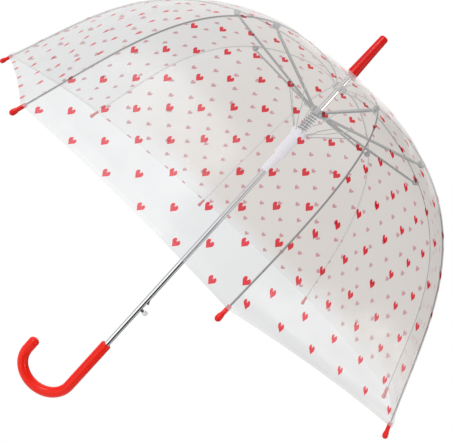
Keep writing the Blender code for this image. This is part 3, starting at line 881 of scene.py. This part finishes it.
def build_link(i):
    rise = math.atan2(JOINT_H - HUB_PIVOT_H, JOINT_R - PIVOT_R)
    end_r = PIVOT_R + LINK_ON_STRETCHER * math.cos(rise)
    end_h = HUB_PIVOT_H + LINK_ON_STRETCHER * math.sin(rise)
    run_r, run_h = end_r - RUNNER_PIVOT_R, end_h - RUNNER_PIVOT_H
    points = []
    for j in range(49):
        along = -0.010 + 1.030 * j / 48
        share = min(max((along - LINK_STRAIGHT) / (LINK_ASIDE - LINK_STRAIGHT), 0.0), 1.0)
        side = share * share * (3 - 2 * share)
        points.append((
            RUNNER_PIVOT_R + run_r * along,
            LINK_OFFSET * side,
            RUNNER_PIVOT_H + run_h * along + RIM_Z,
        ))
    work = bmesh.new()
    sweep(work, points, LINK_WIRE_R, 10)
    bmesh.ops.transform(work, matrix=turn(rib_angle(i)), verts=work.verts)
    link = finish_mesh(f"link_wire_{i + 1}", work, WIRE, 60)
    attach(link, f"link_{i + 1}")
    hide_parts(f"link_{i + 1}")


for i in range(RIBS):
    build_rib(i)
    build_joint(i)
    build_tip(i)
    build_link(i)


# ---------------------------------------------------------------- canopy


def build_panel(i):
    """Two runs of one film panel, which meet at the line where it folds, and the hem inside its edge.

    Each run is a curved sheet held between two ribs.
    """
    top, top_area = film_sheet(
        f"film_crown_{i + 1}", FILM_START, JOINT_S, 26, 20, FILM_LIFT, i, FILM
    )
    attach(top, f"gore_{i + 1}")
    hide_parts(f"canopy_gore_{i + 1}")
    low, low_area = film_sheet(
        f"film_skirt_{i + 1}", JOINT_S, FILM_END, 48, 32, FILM_LIFT, i, FILM
    )
    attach(low, f"hem_{i + 1}")
    hem, _ = film_sheet(
        f"film_hem_{i + 1}", FILM_END - HEM_TALL, FILM_END, 4, 32, HEM_LIFT, i, FILM_HEM
    )
    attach(hem, f"hem_{i + 1}")
    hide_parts(f"canopy_hem_{i + 1}")
    for piece in (top, low, hem):
        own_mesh(piece)


for i in range(RIBS):
    build_panel(i)


# ---------------------------------------------------------------- floor, light and camera


FLOOR_HALF_SIZE = 1.6
FLOOR_Z = -0.85

# Light from all round, as (place from west to east, brightness), which stripes the bright shaft.
WORLD_BANDS = (
    (0.0, 0.50), (0.06, 0.50), (0.12, 1.10), (0.44, 1.25), (0.53, 0.60), (0.59, 0.03), (0.90, 0.03),
    (0.95, 0.60), (1.0, 0.62),
)


def build_stage():
    n = Nodes("studio_floor", (0.95, 0.95, 0.95))
    glow = n.node("ShaderNodeEmission")
    speck = n.noise(n.place(), 3.0, 3.0)
    n.link(n.colours(speck, (1.0, 1.0, 1.0), (0.995, 0.995, 0.995)), glow.inputs["Color"])
    work = bmesh.new()
    bmesh.ops.create_grid(work, x_segments=8, y_segments=8, size=FLOOR_HALF_SIZE)
    bmesh.ops.translate(work, vec=(0, 0, FLOOR_Z), verts=work.verts)
    floor = finish_mesh("studio_floor", work, n.done(glow.outputs[0]))


def build_world():
    """White to the camera, and banded light to everything else."""
    world = bpy.data.worlds.new("studio")
    bpy.context.scene.world = world
    world.use_nodes = True
    tree = world.node_tree
    tree.nodes.clear()
    output = tree.nodes.new("ShaderNodeOutputWorld")
    seen = tree.nodes.new("ShaderNodeBackground")
    seen.inputs["Color"].default_value = (1.0, 1.0, 1.0, 1.0)
    seen.inputs["Strength"].default_value = 1.0
    around = tree.nodes.new("ShaderNodeBackground")
    coordinates = tree.nodes.new("ShaderNodeTexCoord")
    split = tree.nodes.new("ShaderNodeSeparateXYZ")
    tree.links.new(coordinates.outputs["Generated"], split.inputs[0])
    bands = tree.nodes.new("ShaderNodeValToRGB")
    stops = bands.color_ramp.elements
    for stop, (place, grey) in zip(stops, (WORLD_BANDS[0], WORLD_BANDS[-1])):
        stop.position, stop.color = place, (grey, grey, grey, 1.0)
    for place, grey in WORLD_BANDS[1:-1]:
        stops.new(place).color = (grey, grey, grey, 1.0)
    shifted = tree.nodes.new("ShaderNodeMath")
    shifted.operation = "MULTIPLY_ADD"
    shifted.inputs[1].default_value = 0.5
    shifted.inputs[2].default_value = 0.5
    tree.links.new(split.outputs[0], shifted.inputs[0])
    tree.links.new(shifted.outputs[0], bands.inputs["Fac"])
    tree.links.new(bands.outputs["Color"], around.inputs["Color"])
    path = tree.nodes.new("ShaderNodeLightPath")
    choose = tree.nodes.new("ShaderNodeMixShader")
    tree.links.new(path.outputs["Is Camera Ray"], choose.inputs[0])
    tree.links.new(around.outputs[0], choose.inputs[1])
    tree.links.new(seen.outputs[0], choose.inputs[2])
    tree.links.new(choose.outputs[0], output.inputs["Surface"])


def area_light(name, place, target, size, power):
    data = bpy.data.lights.new(name, "AREA")
    data.shape = "RECTANGLE"
    data.size, data.size_y = size
    data.energy = power
    light = bpy.data.objects.new(name, data)
    light.location = place
    light.rotation_euler = (Vector(target) - Vector(place)).to_track_quat("-Z", "Y").to_euler()
    bpy.context.scene.collection.objects.link(light)


CAMERA_AWAY = 1.0265
CAMERA_ELEVATION = math.radians(7.07)
CAMERA_ROLL = math.radians(-42.267)
FOCAL_SHARE = 641.5 / 452
SHIFT = (0.0538, 0.0409)


def build_camera():
    target = Vector((0.0, 0.0, RIM_Z))
    place = target + CAMERA_AWAY * Vector((0.0, -math.cos(CAMERA_ELEVATION), math.sin(CAMERA_ELEVATION)))
    ahead = (target - place).normalized()
    right = ahead.cross(Vector((0, 0, 1))).normalized()
    up = right.cross(ahead)
    image_right = right * math.cos(CAMERA_ROLL) - up * math.sin(CAMERA_ROLL)
    image_up = right * math.sin(CAMERA_ROLL) + up * math.cos(CAMERA_ROLL)
    data = bpy.data.cameras.new("camera")
    data.sensor_width = 36.0
    data.lens = 36.0 * FOCAL_SHARE
    data.shift_x, data.shift_y = SHIFT
    data.clip_end = 200.0
    camera = bpy.data.objects.new("camera", data)
    turned = Matrix((image_right, image_up, -ahead)).transposed().to_4x4()
    camera.matrix_world = Matrix.Translation(place) @ turned
    bpy.context.scene.collection.objects.link(camera)
    bpy.context.scene.camera = camera


build_stage()
build_world()
middle = (0.0, 0.0, RIM_Z + 0.1)
area_light("key", (-1.3, -1.5, 1.7), middle, (0.9, 0.9), 17.0)
area_light("fill", (1.6, -1.2, 0.9), middle, (0.9, 1.6), 4.5)
area_light("strip", (1.46, -0.68, 0.85), (0.20, -0.36, 0.30), (1.1, 0.16), 3.5)
area_light("back", (0.4, 1.8, 1.5), middle, (1.6, 0.8), 4.0)
build_camera()
bpy.context.scene.view_settings.view_transform = "Standard"
